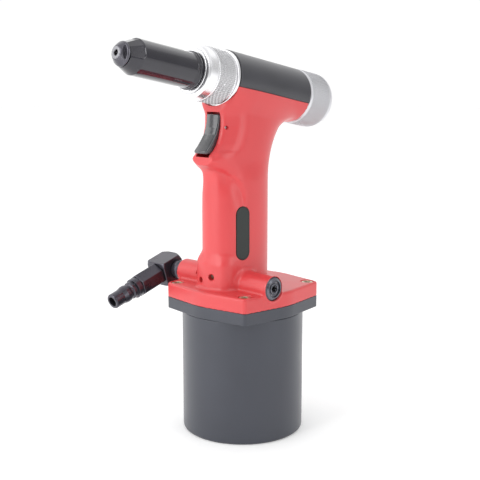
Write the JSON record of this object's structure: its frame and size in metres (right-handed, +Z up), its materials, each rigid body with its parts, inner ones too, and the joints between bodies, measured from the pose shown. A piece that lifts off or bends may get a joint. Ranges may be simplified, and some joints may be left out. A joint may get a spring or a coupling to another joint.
{
  "type": "hand riveter",
  "caption": "Air-hydraulic blind-rivet gun: pistol grip with trigger on an upright air cylinder, tilted barrel with nosepiece, knurled collar, mandrel cap and swivelling air inlet.",
  "frame": {"origin": "centre of the air cylinder's bottom face, on which the tool stands", "axes": "+Z up the air cylinder and the grip; -X towards the nose, which tilts up; -Y to the side with the valve plug; +Y to the side with the air inlet"},
  "size_m": [0.2097, 0.1253, 0.2984],
  "materials": {
    "casting": "satin red coating on cast aluminium",
    "cylinder": "satin blue-grey coating on aluminium",
    "cover": "satin black",
    "bright": "bright, with a knurled band",
    "collector": "matte, finely knurled",
    "black_steel": "black oxide, glossy",
    "steel": "ground",
    "brass": "machined",
    "alloy": "machined",
    "trigger": "dark grey, glossy",
    "rubber": "matte black",
    "felt": "porous",
    "label": "dark plate"
  },
  "bodies": {
    "housing": {"air_cylinder": "cylinder", "cylinder_gasket": "rubber", "handle_body": "casting", "name_plate": "label", "flange_screw_1": "steel", "flange_screw_2": "steel", "flange_screw_3": "steel", "flange_screw_4": "steel", "piston_bumper": "rubber", "transfer_tube": "steel", "ram_gland": "brass", "ram_seal": "rubber", "valve_sleeve": "brass", "valve_spring": "steel", "valve_plug": "black_steel", "plug_o_ring": "rubber", "exhaust_filter": "felt", "pilot_tube": "steel", "trigger_pin": "steel", "pilot_valve_body": "brass", "pilot_valve_spring": "steel", "barrel_cover": "cover", "head_cylinder": "steel", "front_gland": "brass", "front_gland_seal": "rubber", "return_spring": "steel", "rear_gland": "alloy", "rear_cap_o_ring": "rubber", "nose_housing": "black_steel", "nose_tip": "black_steel", "swivel_stem": "black_steel", "swivel_seal_1": "rubber", "swivel_seal_2": "rubber", "swivel_clip": "steel"},
    "trigger_lever": {"trigger": "trigger"},
    "pilot_stem": {"pilot_valve_stem": "steel"},
    "spool": {"valve_spool": "steel"},
    "ram": {"air_piston": "alloy", "air_piston_seal": "rubber", "transfer_tube_seal": "rubber", "ram_rod": "steel", "piston_nut": "steel"},
    "puller": {"pull_piston": "steel", "pull_piston_seal": "rubber", "mandrel_tube": "steel", "jaw_case": "steel", "jaw_pusher": "steel", "jaw_spring": "steel"},
    "jaw_one": {"jaw_1": "steel"},
    "jaw_two": {"jaw_2": "steel"},
    "jaw_three": {"jaw_3": "steel"},
    "inlet_elbow": {"elbow_body": "black_steel", "hex_adapter": "black_steel", "coupler_plug": "black_steel"},
    "collector_cap": {"rear_cap": "collector"},
    "collar": {"lock_collar": "bright"}
  },
  "joints": [
    {"name": "trigger_pull", "type": "hinge", "parent": "housing", "child": "trigger_lever", "pos_m": [-0.0284, 0, 0.2362], "axis": [0, -1, 0], "range_deg": [0, 8], "stiffness_Nm_per_rad": 0.3, "springref_deg": -8.59},
    {"name": "pilot_valve_shift", "type": "slide", "parent": "housing", "child": "pilot_stem", "axis": [1, 0, 0], "range_m": [0, 0.0021], "deforming": ["pilot_valve_spring"]},
    {"name": "spool_shift", "type": "slide", "parent": "housing", "child": "spool", "axis": [0, -1, 0], "range_m": [0, 0.0054], "deforming": ["valve_spring"]},
    {"name": "ram_stroke", "type": "slide", "parent": "housing", "child": "ram", "axis": [0, 0, 1], "range_m": [0, 0.0714]},
    {"name": "pull_stroke", "type": "slide", "parent": "housing", "child": "puller", "axis": [0.9848, 0, -0.1736], "range_m": [0, 0.018], "deforming": ["return_spring"]},
    {"name": "inlet_swivel", "type": "hinge", "parent": "housing", "child": "inlet_elbow", "pos_m": [-0.0157, 0.0678, 0.1197], "axis": [0, 1, 0], "continuous": true},
    {"name": "cap_turn", "type": "hinge", "parent": "housing", "child": "collector_cap", "pos_m": [0, 0, 0.2673], "axis": [-0.9848, 0, 0.1736], "range_deg": [0, 360]},
    {"name": "collar_turn", "type": "hinge", "parent": "housing", "child": "collar", "pos_m": [0, 0, 0.2673], "axis": [-0.9848, 0, 0.1736], "range_deg": [0, 360]},
    {"name": "jaw_grip_1", "type": "slide", "parent": "puller", "child": "jaw_one", "axis": [-0.8926, 0, 0.4509], "range_m": [0, 0.0013]},
    {"name": "jaw_grip_2", "type": "slide", "parent": "puller", "child": "jaw_two", "axis": [-0.9679, -0.2503, 0.0239], "range_m": [0, 0.0013]},
    {"name": "jaw_grip_3", "type": "slide", "parent": "puller", "child": "jaw_three", "axis": [-0.9679, 0.2503, 0.0239], "range_m": [0, 0.0013]}
  ],
  "couplings": [
    {"joint": "pilot_valve_shift", "follows": "trigger_pull", "m_per_rad": 0.0145},
    {"joint": "spool_shift", "follows": "trigger_pull", "m_per_rad": 0.0355},
    {"joint": "pull_stroke", "follows": "ram_stroke", "ratio": 0.252},
    {"joint": "jaw_grip_1", "follows": "ram_stroke", "ratio": 0.0168},
    {"joint": "jaw_grip_2", "follows": "ram_stroke", "ratio": 0.0168},
    {"joint": "jaw_grip_3", "follows": "ram_stroke", "ratio": 0.0168}
  ]
}
